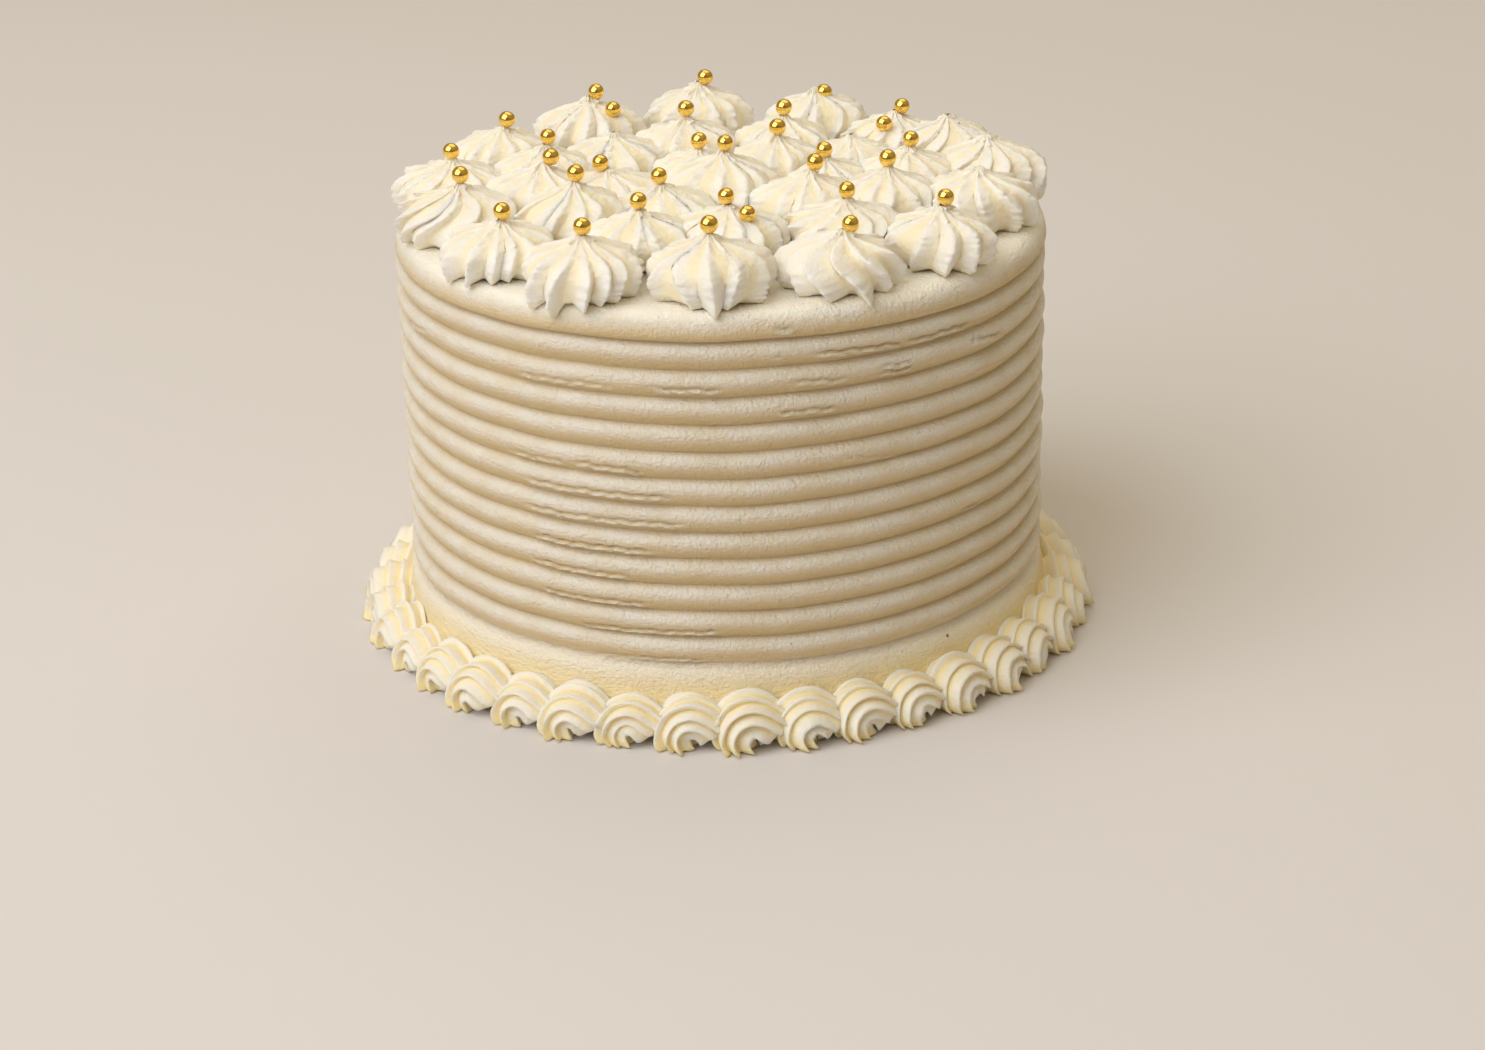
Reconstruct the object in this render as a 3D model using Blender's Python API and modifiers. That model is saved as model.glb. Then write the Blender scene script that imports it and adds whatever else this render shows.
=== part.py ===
"""A round layer cake iced in buttercream.

The side is combed into level round ridges, a border of piped shells runs round the foot,
star-piped kisses cover the top and gold sugar balls lie on them. Metres, +Z up. The origin is
the centre of the flat base, and the front of the cake faces -Y. Sizes below are millimetres
and are scaled once, by MM, where the meshes are made.
"""

import math
from dataclasses import dataclass

import bmesh
import bpy
from mathutils import Vector

MM = 0.001
GAP = 0.3  # clearance between pieces that touch

# Iced body
TOP_Z = 101.5
CREST_RADIUS = 78.7
GROOVE_RADIUS = 77.3
RIM_ROUND = 4.4
RIM_STEPS = 2
FIRST_GROOVE_Z = 94.9
RIDGE_PITCH = 6.5
RIDGE_COUNT = 12
CREST_INSET = 1.5  # from a groove to the full radius of the ridge, along the height
FOOT_CHAMFER = 1.0
BODY_STEPS = 36

# Shell border
SHELL_COUNT = 39
BORDER_CENTRE_RADIUS = 84.0
SHELL_REACH = 8.2
SHELL_HEIGHT = 11.6
SHELL_INNER_SHARE = 0.84  # height against the cake, as a share of the shell's own
SHELL_UNEVEN = 0.07
UNEVEN_TURNS = (2.4, 1.3)  # radians from shell to shell of the two waves that make them uneven
# Along one shell, from its head to its tail: place, swell, and droop of the ribs in degrees
SHELL_STATIONS = (
    (0.00, 0.70, 4.0),
    (0.13, 0.96, 14.0),
    (0.42, 1.00, 6.0),
    (0.76, 0.84, 0.0),
)
# Round one section, from the foot outside to the top: angle, and rib (1) or furrow (0)
SHELL_RIBS = ((0, 1), (17, 0), (33, 1), (47, 0), (63, 1), (80, 0), (100, 1))
FURROW_DEPTH = 0.13
SECTION_POINTS = len(SHELL_RIBS) + 2

# Kisses
KISS_LOBES = 11
LOBE_DEPTH = 0.085
KISS_REACH = 2.0  # neighbours nearer than both radii and this share a flat seam
# From the base up: share of the radius and share of the height
KISS_LEVELS = ((0.0, 0.0), (0.93, 0.0), (1.0, 0.22), (0.88, 0.60), (0.38, 0.80), (0.0, 1.0))

# Gold balls
BALL_RADIUS = 2.05
BALL_SIDES = 6
BALL_RINGS = 3
BALL_ON_FLANK = 1.3  # centre above the flank it is pressed into
BALL_HOLD = 1.4  # most that a ball's centre lies from the tip that holds it

ICING_COLOUR = (0.80, 0.72, 0.56, 1.0)
KISS_COLOUR = (0.88, 0.82, 0.68, 1.0)
BORDER_COLOUR = (0.88, 0.81, 0.64, 1.0)


@dataclass(frozen=True)
class Kiss:
    """One piped kiss: where it stands, its size, its swirl and the ball on its tip."""

    x: float
    y: float
    radius: float
    height: float
    twist: float = 0.0  # degrees from base to tip
    lean: float = 0.0  # sideways shift of the tip
    ball: tuple | None = (0.2, 1.8)  # ball centre from the tip, sideways and up
    side_ball: tuple | None = None  # second ball on the flank, across from the kiss's centre


# The outer ring runs from the left round the front to the right and back
OUTER_KISSES = (
    Kiss(-63.0, -17.0, 15.0, 13.4, 50, 2.0),
    Kiss(-51.2, -40.3, 15.2, 11.4, 8, 1.0, (0.4, 1.8)),
    Kiss(-31.2, -58.3, 15.0, 13.0, 15, -0.1, (0.5, 1.8)),
    Kiss(-2.7, -63.2, 15.0, 14.3, 0, 0.2, (0.1, 1.9)),
    Kiss(27.5, -58.0, 15.0, 12.9, -25, 0.3, (1.2, 1.5)),
    Kiss(50.0, -41.0, 14.0, 12.8, 10, 0.5, (1.2, 1.8)),
    Kiss(61.0, -14.0, 14.5, 14.0, -20, 0.0, None),
    Kiss(66.0, 13.0, 14.5, 14.0, 30, -1.0, None),
    Kiss(57.0, 35.0, 13.0, 13.0, 40, 0.5, None),
    Kiss(43.5, 44.0, 13.0, 12.1, 20, 1.0, (2.0, 1.0), (-1.7, -7.0)),
    Kiss(25.0, 58.0, 14.0, 14.5, 10, 0.0, (2.2, -1.0)),
    Kiss(-5.0, 64.0, 14.5, 15.2, 0, 0.0, (2.0, 0.9)),
    Kiss(-33.0, 54.0, 14.5, 14.6, 10, 0.0, (2.1, 0.9), (6.4, -5.2)),
    Kiss(-55.0, 32.0, 14.0, 13.6, 0, 1.2, (1.3, 1.2)),
    Kiss(-64.0, 8.0, 14.0, 12.5, 20, -0.5, (-0.3, 1.3)),
)
# The kisses inside that ring, from the front row to the back row
INNER_KISSES = (
    Kiss(-18.0, -38.0, 14.5, 12.5, 0, -0.6, (0.0, 1.8)),
    Kiss(2.0, -37.0, 15.0, 13.0, 20, 0.0, (-0.4, 1.7), (4.3, -4.7)),
    Kiss(28.5, -33.0, 15.0, 12.6, 45, 0.3, (0.7, 1.7)),
    Kiss(-34.5, -23.0, 14.5, 15.4, 25, 0.2),
    Kiss(-13.0, -17.0, 15.0, 12.2, 0, -0.6, (-0.5, 1.7)),
    Kiss(20.2, -14.0, 14.5, 14.0, 0, 1.2, (1.5, 1.5)),
    Kiss(40.0, -13.0, 14.5, 14.3, 10, 0.0, (0.0, 1.6)),
    Kiss(-43.9, -3.0, 14.0, 13.8, 0, 1.6, (1.9, 1.1)),
    Kiss(-25.0, 2.0, 14.5, 11.0, 0, -1.8, (-1.2, 1.4)),
    Kiss(1.0, 0.0, 15.5, 15.4, 0, 0.0, (0.8, 1.8)),
    Kiss(26.0, 8.0, 13.0, 11.0, 0, -0.3, (-0.5, 1.7)),
    Kiss(46.0, 10.0, 14.5, 12.4, 0, 0.3, (0.6, 1.5)),
    Kiss(-43.0, 16.0, 14.0, 13.0, 0, 0.6, (0.8, 1.7)),
    Kiss(-5.0, 18.0, 13.5, 10.6, 0, 0.0, (0.3, 1.7)),
    Kiss(14.5, 17.0, 14.5, 14.4, 0, 0.0, (0.1, 1.8)),
    Kiss(33.0, 24.0, 13.0, 11.5, 0, 0.0, None),
    Kiss(-26.0, 27.0, 14.5, 12.5, 0, 0.0, None),
    Kiss(-8.0, 38.0, 14.5, 13.2, 0, 0.0, (0.1, 1.8)),
    Kiss(16.5, 38.0, 14.0, 13.0, 0, 0.0),
)
KISSES = OUTER_KISSES + INNER_KISSES


def clear_scene():
    for old in list(bpy.data.objects):
        bpy.data.objects.remove(old, do_unlink=True)


def collection(name):
    made = bpy.data.collections.new(name)
    bpy.context.scene.collection.children.link(made)
    return made


def material(name, colour, roughness):
    """A plain Principled finish."""
    made = bpy.data.materials.new(name)
    made.use_nodes = True
    shader = made.node_tree.nodes["Principled BSDF"]
    shader.inputs["Base Color"].default_value = colour
    shader.inputs["Roughness"].default_value = roughness
    return made


def object_of(name, mesh, finish, home):
    made = bpy.data.objects.new(name, mesh)
    made.data.materials.append(finish)
    made.data.shade_smooth()
    home.objects.link(made)
    return made


def body_profile():
    """The (radius, height) points of the iced body, from the top's middle down to the base's."""
    points = [(0.0, TOP_Z)]
    for step in range(RIM_STEPS + 1):
        turn = math.radians(90.0 * step / RIM_STEPS)
        inset = RIM_ROUND * (1.0 - math.sin(turn))
        drop = RIM_ROUND * (1.0 - math.cos(turn))
        points.append((CREST_RADIUS - inset, TOP_Z - drop))
    groove_z = FIRST_GROOVE_Z
    for _ in range(RIDGE_COUNT):
        points.append((GROOVE_RADIUS, groove_z))
        points.append((CREST_RADIUS, groove_z - CREST_INSET))
        points.append((CREST_RADIUS, groove_z - RIDGE_PITCH + CREST_INSET))
        groove_z -= RIDGE_PITCH
    points.append((GROOVE_RADIUS, groove_z))
    points.append((CREST_RADIUS, groove_z - CREST_INSET))
    points.append((CREST_RADIUS, FOOT_CHAMFER))
    points.append((CREST_RADIUS - FOOT_CHAMFER, 0.0))
    points.append((0.0, 0.0))
    return points


def make_body(home):
    """The cake under its icing: the combed outline turned about +Z."""
    shape = bmesh.new()
    corners = [shape.verts.new((radius * MM, 0.0, z * MM)) for radius, z in body_profile()]
    for upper, lower in zip(corners, corners[1:]):
        shape.edges.new((upper, lower))
    mesh = bpy.data.meshes.new("iced_cake")
    shape.to_mesh(mesh)
    shape.free()
    body = object_of("iced_cake", mesh, material("body_icing", ICING_COLOUR, 0.55), home)
    turned = body.modifiers.new("Turned", "SCREW")
    turned.steps = BODY_STEPS
    turned.render_steps = BODY_STEPS
    turned.use_merge_vertices = True
    turned.merge_threshold = 0.0001
    return body


def shell_swell(section):
    """The swell and droop of one border section, from its number round the ring."""
    shell, station = divmod(section, len(SHELL_STATIONS))
    _, swell, droop = SHELL_STATIONS[station]
    quick, slow = UNEVEN_TURNS
    uneven = 1.0 + SHELL_UNEVEN * math.sin(quick * shell) * math.cos(slow * shell)
    return swell * uneven, droop


def shell_azimuth(section):
    """The place of one border section round the ring; shells run head to tail with the azimuth."""
    shell, station = divmod(section, len(SHELL_STATIONS))
    return 2.0 * math.pi * (shell + SHELL_STATIONS[station][0]) / SHELL_COUNT


def shell_point(section, point):
    """One corner of a border section as (distance from the axis, height)."""
    swell, droop = shell_swell(section)
    inner = CREST_RADIUS + GAP
    if point == SECTION_POINTS - 1:
        return inner, 0.0
    if point == SECTION_POINTS - 2:
        return inner, SHELL_HEIGHT * SHELL_INNER_SHARE * swell
    angle, rib = SHELL_RIBS[point]
    low = max(angle - droop, 0.0) if point else 0.0
    reach = swell * (1.0 if rib else 1.0 - FURROW_DEPTH)
    turn = math.radians(low)
    across = BORDER_CENTRE_RADIUS + SHELL_REACH * reach * math.cos(turn)
    return across, SHELL_HEIGHT * reach * math.sin(turn)


def make_border(home):
    """The ring of piped shells: a torus whose sections are swollen and ribbed shell by shell."""
    sections = SHELL_COUNT * len(SHELL_STATIONS)
    bpy.ops.mesh.primitive_torus_add(
        major_segments=sections,
        minor_segments=SECTION_POINTS,
        major_radius=BORDER_CENTRE_RADIUS * MM,
        minor_radius=SHELL_REACH * MM,
    )
    border = bpy.context.active_object
    border.name = "shell_border"
    border.data.name = "shell_border"
    for corner in border.data.vertices:
        azimuth = math.atan2(corner.co.y, corner.co.x)
        tube = math.atan2(corner.co.z, math.hypot(corner.co.x, corner.co.y) - BORDER_CENTRE_RADIUS * MM)
        section = round(azimuth / (2.0 * math.pi) * sections) % sections
        point = round(tube / (2.0 * math.pi) * SECTION_POINTS) % SECTION_POINTS
        across, z = shell_point(section, point)
        turn = shell_azimuth(section)
        corner.co = Vector((across * math.cos(turn), across * math.sin(turn), z)) * MM
    border.data.materials.append(material("border_buttercream", BORDER_COLOUR, 0.5))
    border.data.shade_smooth()
    for holder in list(border.users_collection):
        holder.objects.unlink(border)
    home.objects.link(border)
    return border


def seams(kiss):
    """The flat seams of a kiss with its neighbours, as (direction, distance from its centre)."""
    found = []
    for other in KISSES:
        across = math.hypot(other.x - kiss.x, other.y - kiss.y)
        if other is kiss or across > kiss.radius + other.radius + KISS_REACH:
            continue
        half = (across**2 + kiss.radius**2 - other.radius**2) / (2.0 * across)
        direction = math.atan2(other.y - kiss.y, other.x - kiss.x)
        found.append((direction, half - GAP / 2.0))
    return found


def kiss_point(kiss, cuts, level, turn):
    """One corner of a kiss, from its level and its angle before the swirl."""
    share, rise = KISS_LEVELS[level]
    side = round(turn * KISS_LOBES / math.pi - 0.5)
    lobe = 1.0 - LOBE_DEPTH if side % 2 else 1.0 + LOBE_DEPTH
    swirled = turn + math.radians(kiss.twist) * rise
    reach = kiss.radius * share * lobe
    shift = kiss.lean * rise**2
    x = reach * math.cos(swirled) + shift
    y = reach * math.sin(swirled)
    for direction, distance in cuts:
        over = x * math.cos(direction) + y * math.sin(direction) - distance
        if over > 0.0:
            x -= over * math.cos(direction)
            y -= over * math.sin(direction)
    return Vector((kiss.x + x, kiss.y + y, TOP_Z + GAP + kiss.height * rise))


def add_ball(home, centre):
    """One gold ball as an object of its own, to be fused to its kiss."""
    shape = bmesh.new()
    bmesh.ops.create_uvsphere(
        shape, u_segments=BALL_SIDES, v_segments=BALL_RINGS, radius=BALL_RADIUS * MM
    )
    bmesh.ops.translate(shape, verts=shape.verts, vec=centre * MM)
    mesh = bpy.data.meshes.new("ball")
    shape.to_mesh(mesh)
    shape.free()
    ball = bpy.data.objects.new("ball", mesh)
    home.objects.link(ball)
    return ball


def flank_rise(share):
    """The height share of a kiss's flank at a share of its radius."""
    for (outer, low), (inner, high) in zip(KISS_LEVELS[2:], KISS_LEVELS[3:]):
        if share >= inner:
            return low + (high - low) * (outer - share) / (outer - inner)
    return 1.0


def ball_centres(kiss):
    """Where the balls of one kiss lie: on its tip and on its flank."""
    base = Vector((kiss.x, kiss.y, TOP_Z + GAP))
    centres = []
    if kiss.ball:
        sideways, up = kiss.ball
        offset = Vector((sideways, 0.0, up))
        offset *= min(1.0, BALL_HOLD / offset.length)
        centres.append(base + Vector((kiss.lean, 0.0, kiss.height)) + offset)
    if kiss.side_ball:
        sideways, back = kiss.side_ball
        flank = flank_rise(math.hypot(sideways, back) / kiss.radius) * kiss.height
        centres.append(base + Vector((sideways, back, flank + BALL_ON_FLANK)))
    return centres


def fuse(target, pieces):
    """Joins the pieces to the target with one union, and removes them."""
    bpy.context.view_layer.update()
    union = target.modifiers.new("Fused", "BOOLEAN")
    union.operation = "UNION"
    union.operand_type = "COLLECTION"
    union.collection = pieces
    union.solver = "EXACT"
    bpy.context.view_layer.objects.active = target
    bpy.ops.object.modifier_apply(modifier=union.name)
    for piece in list(pieces.objects):
        bpy.data.objects.remove(piece, do_unlink=True)


def make_kiss(number, kiss, finish, home, loose):
    """One star-piped kiss with its balls fused on."""
    shape = bmesh.new()
    rings = len(KISS_LEVELS) - 1
    bmesh.ops.create_uvsphere(shape, u_segments=2 * KISS_LOBES, v_segments=rings, radius=1.0)
    cuts = seams(kiss)
    for corner in shape.verts:
        level = round(math.acos(max(-1.0, min(1.0, -corner.co.z))) / math.pi * rings)
        turn = math.atan2(corner.co.y, corner.co.x)
        corner.co = kiss_point(kiss, cuts, level, turn) * MM
    mesh = bpy.data.meshes.new(f"kiss_{number:02d}")
    shape.to_mesh(mesh)
    shape.free()
    made = object_of(f"kiss_{number:02d}", mesh, finish, home)
    for centre in ball_centres(kiss):
        add_ball(loose, centre)
    if loose.objects:
        fuse(made, loose)
    return made


def main():
    clear_scene()
    cake = collection("layer_cake")
    loose = collection("balls_to_fuse")
    make_body(cake)
    make_border(cake)
    kiss_finish = material("kiss_buttercream", KISS_COLOUR, 0.5)
    for number, kiss in enumerate(KISSES, start=1):
        make_kiss(number, kiss, kiss_finish, cake, loose)


main()
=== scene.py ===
"""Looks of a round layer cake.

Buttercream combed in level ridges round the side, a border of piped shells round the foot,
star-piped kisses over the top and gold sugar balls on them. Metres, +Z up, the front faces -Y.
Sizes are millimetres and are scaled once, by MM, where a mesh is made.
"""

from __future__ import annotations

import logging
import math
from dataclasses import dataclass
from enum import Enum

import bmesh
import bpy
import numpy as np
from mathutils import Matrix, Vector

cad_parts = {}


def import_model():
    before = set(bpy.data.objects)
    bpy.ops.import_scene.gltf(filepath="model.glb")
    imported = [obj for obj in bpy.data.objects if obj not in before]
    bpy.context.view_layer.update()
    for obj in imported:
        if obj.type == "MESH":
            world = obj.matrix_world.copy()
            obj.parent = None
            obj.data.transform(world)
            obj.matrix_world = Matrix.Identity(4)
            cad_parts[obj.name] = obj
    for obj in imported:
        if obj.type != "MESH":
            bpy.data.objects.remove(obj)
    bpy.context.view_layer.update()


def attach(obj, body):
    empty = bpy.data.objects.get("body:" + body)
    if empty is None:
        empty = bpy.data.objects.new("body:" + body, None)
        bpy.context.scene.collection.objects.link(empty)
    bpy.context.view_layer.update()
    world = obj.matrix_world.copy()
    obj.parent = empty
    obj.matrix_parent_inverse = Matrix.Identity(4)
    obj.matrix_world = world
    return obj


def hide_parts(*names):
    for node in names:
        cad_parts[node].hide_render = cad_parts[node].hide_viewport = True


LOG = logging.getLogger("layer_cake")

MM = 0.001
TURN = 2.0 * math.pi
TOP_Z = 101.5
CREST_RADIUS = 78.7
SEED = 20
SHELL_SEED = SEED + 100
BALL_SEED = SEED + 500

Colour = tuple[float, float, float, float]


class Slot(Enum):
    """The record's material slots."""

    SIDE = "side_icing"
    BORDER = "border_icing"
    KISS = "kiss_icing"
    GOLD = "gold"


class Swell(Enum):
    """Which way a smooth step runs."""

    RISING = 1
    FALLING = -1


def smooth_step(value: np.ndarray, low: float, high: float, way: Swell = Swell.RISING) -> np.ndarray:
    """A smooth step between two values.

    Args:
        value: Where to read it.
        low: Where the step starts.
        high: Where the step ends.
        way: Rising from 0 to 1, or falling from 1 to 0.

    Returns:
        The step at each value.
    """
    share = np.clip((value - low) / (high - low), 0.0, 1.0)
    step = share * share * (3.0 - 2.0 * share)
    return step if way is Swell.RISING else 1.0 - step


def deselect_all() -> None:
    """Leaves no object selected, and none in edit mode."""
    if bpy.context.object and bpy.context.object.mode != "OBJECT":
        bpy.ops.object.mode_set(mode="OBJECT")
    bpy.ops.object.select_all(action="DESELECT")


def make_active(piece: bpy.types.Object) -> None:
    """Selects one object alone and makes it active.

    Args:
        piece: The object.
    """
    deselect_all()
    piece.select_set(True)
    bpy.context.view_layer.objects.active = piece


def corners_of(piece: bpy.types.Object) -> np.ndarray:
    """Reads the corners of a mesh.

    Args:
        piece: The object.

    Returns:
        Their places as rows of x, y and z, in millimetres.
    """
    flat = np.zeros(len(piece.data.vertices) * 3)
    piece.data.vertices.foreach_get("co", flat)
    return flat.reshape(-1, 3) / MM


def move_corners(piece: bpy.types.Object, places: np.ndarray) -> None:
    """Puts the mesh's corners at new places, given in millimetres."""
    piece.data.vertices.foreach_set("co", (places * MM).ravel())
    piece.data.update()


def mark_share(piece: bpy.types.Object, name: str, share: np.ndarray) -> None:
    """Stores a share from 0 to 1 at each corner, for the finish to read."""
    stored = piece.data.attributes.new(name, "FLOAT", "POINT")
    stored.data.foreach_set("value", np.clip(share, 0.0, 1.0).astype(np.float32))


def rename(piece: bpy.types.Object, name: str) -> None:
    """Gives an object and its mesh the same name."""
    piece.name = name
    piece.data.name = name


def copy_of(piece: bpy.types.Object, name: str) -> bpy.types.Object:
    """A copy with its own mesh.

    Args:
        piece: What is copied.
        name: The copy's name.

    Returns:
        The copy, linked to the scene.
    """
    made = piece.copy()
    made.data = piece.data.copy()
    rename(made, name)
    bpy.context.scene.collection.objects.link(made)
    return made


def apply_modifier(piece: bpy.types.Object, kind: str, **settings: object) -> None:
    """Adds one modifier with its settings and applies it.

    Args:
        piece: The object.
        kind: Blender's name of the modifier's type.
        settings: Its values.
    """
    make_active(piece)
    added = piece.modifiers.new(kind.title(), kind)
    for name, value in settings.items():
        setattr(added, name, value)
    bpy.ops.object.modifier_apply(modifier=added.name)


def roughen(piece: bpy.types.Object, texture: bpy.types.Texture, reach: float) -> None:
    """Moves the corners in and out by a texture, over a reach in millimetres."""
    apply_modifier(piece, "DISPLACE", texture=texture, strength=reach * MM, mid_level=0.5, texture_coords="LOCAL")


def smooth(piece: bpy.types.Object) -> None:
    """Shades every face of a piece smooth."""
    make_active(piece)
    bpy.ops.object.shade_smooth()


def join(pieces: list[bpy.types.Object], name: str) -> bpy.types.Object:
    """Joins pieces to one object.

    Args:
        pieces: The objects, each with its own mesh.
        name: The joined object's name.

    Returns:
        The joined object.
    """
    deselect_all()
    for piece in pieces:
        piece.select_set(True)
    bpy.context.view_layer.objects.active = pieces[0]
    bpy.ops.object.join()
    made = bpy.context.active_object
    rename(made, name)
    return made


def lumps(name: str, size: float, depth: int = 2) -> bpy.types.Texture:
    """A cloud texture for uneven icing.

    Args:
        name: The texture's name.
        size: The lumps' size in millimetres.
        depth: How many finer layers it has.

    Returns:
        The texture.
    """
    made = bpy.data.textures.new(name, "CLOUDS")
    made.noise_scale = size * MM
    made.noise_depth = depth
    return made


class Bench:
    """Places and links nodes in one node tree."""

    def __init__(self, tree: bpy.types.NodeTree) -> None:
        """Starts on a tree."""
        self.tree = tree

    def put(self, kind: str, **values: object) -> bpy.types.Node:
        """Adds a node.

        Args:
            kind: The node's type.
            values: Its properties, or values of its inputs by their names with _ for a space.

        Returns:
            The node.
        """
        node = self.tree.nodes.new(kind)
        for name, value in values.items():
            if hasattr(node, name):
                setattr(node, name, value)
            else:
                node.inputs[name.replace("_", " ")].default_value = value
        return node

    def join(self, source: bpy.types.NodeSocket, target: bpy.types.NodeSocket) -> None:
        """Links an output to an input."""
        self.tree.links.new(source, target)

    def math(
        self, operation: str, first: object, second: object = 0.0, clamp: bool = False
    ) -> bpy.types.NodeSocket:
        """Adds a Math node.

        Args:
            operation: What it works out.
            first: A socket or a number.
            second: A socket or a number.
            clamp: Whether the result is kept between 0 and 1.

        Returns:
            Its result.
        """
        node = self.tree.nodes.new("ShaderNodeMath")
        node.operation = operation
        node.use_clamp = clamp
        for socket, value in zip(node.inputs, (first, second)):
            if isinstance(value, bpy.types.NodeSocket):
                self.join(value, socket)
            else:
                socket.default_value = value
        return node.outputs[0]

    def spread(self, value: object, low: float, high: float, to_low: float, to_high: float) -> bpy.types.NodeSocket:
        """Maps a range of values smoothly to another.

        Args:
            value: The socket that is read.
            low: The range's start.
            high: The range's end.
            to_low: What the start becomes.
            to_high: What the end becomes.

        Returns:
            The mapped value.
        """
        node = self.tree.nodes.new("ShaderNodeMapRange")
        node.interpolation_type = "SMOOTHSTEP"
        self.join(value, node.inputs["Value"])
        for name, number in zip(("From Min", "From Max", "To Min", "To Max"), (low, high, to_low, to_high)):
            node.inputs[name].default_value = number
        return node.outputs["Result"]

    def mix(self, share: object, first: object, second: object) -> bpy.types.NodeSocket:
        """Mixes two colours by a mask.

        Args:
            share: The mask, a socket.
            first: The colour or socket where the mask is 0.
            second: The colour or socket where the mask is 1.

        Returns:
            The mixed colour.
        """
        node = self.tree.nodes.new("ShaderNodeMix")
        node.data_type = "RGBA"
        self.join(share, node.inputs[0])
        for socket, value in zip((node.inputs[6], node.inputs[7]), (first, second)):
            if isinstance(value, bpy.types.NodeSocket):
                self.join(value, socket)
            else:
                socket.default_value = value
        return node.outputs[2]


def blank_material(name: str) -> tuple[bpy.types.Material, Bench, bpy.types.Node]:
    """Starts a material.

    Args:
        name: The material's name.

    Returns:
        The material, the bench that places its nodes, and its shader.
    """
    made = bpy.data.materials.new(name)
    made.use_nodes = True
    return made, Bench(made.node_tree), made.node_tree.nodes["Principled BSDF"]


class IcingGrain:
    """The shared node group with the fine texture of whipped icing: pebbles, air holes and crumbs."""

    NAME = "icing_grain"

    @classmethod
    def group(cls) -> bpy.types.NodeTree:
        """The group, made on its first use.

        Returns:
            A group with the place and the three spacings in, and Height, Mottle and Crumbs out.
        """
        if cls.NAME in bpy.data.node_groups:
            return bpy.data.node_groups[cls.NAME]
        tree = bpy.data.node_groups.new(cls.NAME, "ShaderNodeTree")
        face = tree.interface
        face.new_socket("Vector", in_out="INPUT", socket_type="NodeSocketVector")
        for name in ("Grain", "Pits", "Crumb Spacing"):
            face.new_socket(name, in_out="INPUT", socket_type="NodeSocketFloat")
        for name in ("Height", "Mottle", "Crumbs"):
            face.new_socket(name, in_out="OUTPUT", socket_type="NodeSocketFloat")
        bench = Bench(tree)
        given = bench.put("NodeGroupInput")
        result = bench.put("NodeGroupOutput")
        pebbles = bench.put("ShaderNodeTexNoise", Detail=2.5, Roughness=0.65)
        broad = bench.put("ShaderNodeTexNoise", Scale=120.0, Detail=2.0)
        holes = bench.put("ShaderNodeTexNoise", Detail=1.0)
        crumbs = bench.put("ShaderNodeTexVoronoi", feature="F1")
        for node in (pebbles, broad, holes, crumbs):
            bench.join(given.outputs["Vector"], node.inputs["Vector"])
        bench.join(given.outputs["Grain"], pebbles.inputs["Scale"])
        bench.join(given.outputs["Pits"], holes.inputs["Scale"])
        bench.join(given.outputs["Crumb Spacing"], crumbs.inputs["Scale"])
        grain = bench.spread(pebbles.outputs[0], 0.25, 0.75, 0.0, 1.0)
        pits = bench.spread(holes.outputs[0], 0.60, 0.70, 0.0, 1.0)
        bench.join(bench.math("SUBTRACT", grain, bench.math("MULTIPLY", pits, 0.5)), result.inputs["Height"])
        bench.join(bench.spread(broad.outputs[0], 0.35, 0.68, 0.0, 1.0), result.inputs["Mottle"])
        dots = bench.spread(crumbs.outputs["Distance"], 0.018, 0.034, 1.0, 0.0)
        apart = bench.put("ShaderNodeSeparateColor")
        bench.join(crumbs.outputs["Color"], apart.inputs[0])
        few = bench.math("GREATER_THAN", apart.outputs[0], 0.8)
        bench.join(bench.math("MULTIPLY", dots, few), result.inputs["Crumbs"])
        return tree


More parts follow.
